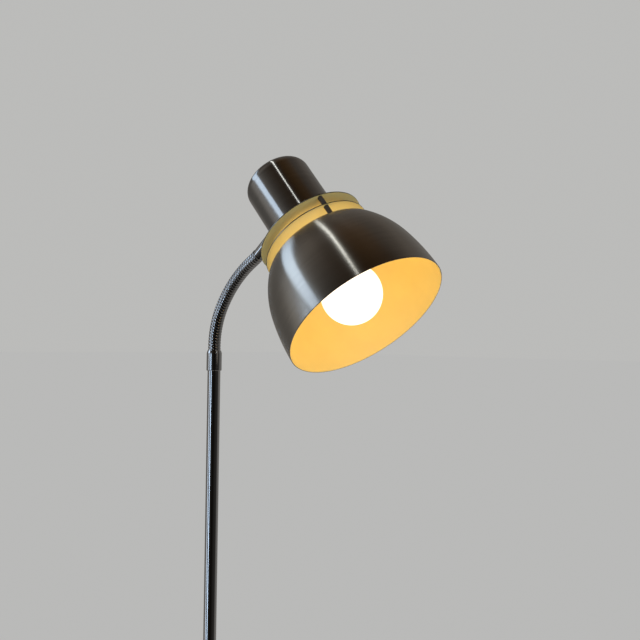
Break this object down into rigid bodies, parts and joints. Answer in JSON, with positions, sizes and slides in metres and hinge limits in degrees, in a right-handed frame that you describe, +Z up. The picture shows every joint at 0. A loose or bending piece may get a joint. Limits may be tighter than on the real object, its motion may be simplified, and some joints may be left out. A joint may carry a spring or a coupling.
{
  "type": "gooseneck reading floor lamp",
  "caption": "Floor lamp with a weighted round base, slim pole, ribbed flexible neck and a bell shade with louvre gaps under a cylindrical cap.",
  "frame": {"origin": "centre of the base pad's underside, on the floor and on the pole's axis", "axes": "+Z up along the pole, +X the way in which the neck leans and the head looks"},
  "size_m": [0.404, 0.25, 1.2993],
  "materials": {
    "pad_rubber": "matt rubber sheet",
    "cast_iron": "rough casting with a thin black coat",
    "brushed_base": "brushed in rings round the pole",
    "black_plastic": "moulded black",
    "zinc_steel": "zinc plated",
    "chrome_tube": "polished chrome plate",
    "chrome_fitting": "polished chrome plate",
    "brass_fitting": "turned brass",
    "chrome_neck": "chrome plated steel strip",
    "lead_sheath": "white flexible sheath",
    "core_insulation": "insulated cores",
    "brushed_shade": "brushed round the axis outside, warm white paint inside",
    "brushed_cap": "brushed round the axis",
    "louvre_metal": "satin, warm white underneath",
    "dark_steel": "dark plated",
    "holder_plastic": "moulded white",
    "ceramic": "glazed ceramic",
    "brass_contact": "bright brass",
    "bulb_cap": "rolled thread",
    "opal_glass": "opal white, lit",
    "button_plastic": "smooth black"
  },
  "bodies": {
    "stand": {"base_pad": "pad_rubber", "base_weight": "cast_iron", "base_cover": "brushed_base", "cord_inlet_bush": "black_plastic", "base_stud": "zinc_steel", "base_washer": "zinc_steel", "base_nut": "zinc_steel", "foot_collar": "chrome_fitting", "pole_foot_bush": "brass_fitting", "lower_pole": "chrome_tube", "upper_pole": "chrome_tube", "pole_coupler": "brass_fitting", "top_collar": "chrome_fitting", "neck_lower_fitting": "brass_fitting", "neck_link_1": "chrome_neck", "stand_lead": "lead_sheath"},
    "neck_2": {"neck_link_2": "chrome_neck", "neck_lead_2": "lead_sheath"},
    "neck_3": {"neck_link_3": "chrome_neck", "neck_lead_3": "lead_sheath"},
    "neck_4": {"neck_link_4": "chrome_neck", "neck_lead_4": "lead_sheath"},
    "neck_5": {"neck_link_5": "chrome_neck", "neck_lead_5": "lead_sheath"},
    "neck_6": {"neck_link_6": "chrome_neck", "neck_lead_6": "lead_sheath"},
    "head": {"neck_link_7": "chrome_neck", "neck_ferrule": "chrome_fitting", "neck_nipple": "zinc_steel", "neck_washer": "zinc_steel", "neck_nut": "zinc_steel", "cap": "brushed_cap", "holder_bracket": "zinc_steel", "upper_plate": "louvre_metal", "plate_screws": "zinc_steel", "louvre_ring": "louvre_metal", "upper_spacers": "dark_steel", "lower_spacers": "dark_steel", "louvre_screws": "dark_steel", "louvre_nuts": "dark_steel", "shade": "brushed_shade", "holder_nipple": "zinc_steel", "holder_nut": "zinc_steel", "holder_dome": "holder_plastic", "holder_skirt": "holder_plastic", "contact_block": "ceramic", "centre_contact": "brass_contact", "screw_shell": "brass_contact", "bulb_glass": "opal_glass", "bulb_base": "bulb_cap", "bulb_tip": "brass_contact", "terminal_block": "black_plastic", "head_lead": "lead_sheath", "holder_wires": "core_insulation", "switch_wires": "core_insulation", "switch_body": "black_plastic", "switch_bezel": "chrome_fitting"},
    "button": {"switch_button": "button_plastic"}
  },
  "joints": [
    {"name": "neck_bend_1", "type": "hinge", "parent": "stand", "child": "neck_2", "pos_m": [0.00081, 0, 1.11595], "axis": [0, 1, 0], "range_deg": [-25, 16]},
    {"name": "neck_bend_2", "type": "hinge", "parent": "neck_2", "child": "neck_3", "pos_m": [0.00546, 0, 1.13452], "axis": [0.9379, 0, -0.3468], "range_deg": [-20, 20]},
    {"name": "neck_bend_3", "type": "hinge", "parent": "neck_3", "child": "neck_4", "pos_m": [0.01399, 0, 1.15166], "axis": [0, 1, 0], "range_deg": [-25, 16]},
    {"name": "neck_bend_4", "type": "hinge", "parent": "neck_4", "child": "neck_5", "pos_m": [0.02528, 0, 1.16715], "axis": [0.7623, 0, -0.6473], "range_deg": [-20, 20]},
    {"name": "neck_bend_5", "type": "hinge", "parent": "neck_5", "child": "neck_6", "pos_m": [0.03873, 0, 1.1808], "axis": [0, 1, 0], "range_deg": [-25, 16]},
    {"name": "neck_bend_6", "type": "hinge", "parent": "neck_6", "child": "head", "pos_m": [0.05404, 0, 1.19233], "axis": [0.541, 0, -0.841], "range_deg": [-20, 20]},
    {"name": "switch_press", "type": "slide", "parent": "head", "child": "button", "axis": [0.6547, 0, -0.7559], "range_m": [0, 0.0025], "stiffness_N_per_m": 400}
  ]
}
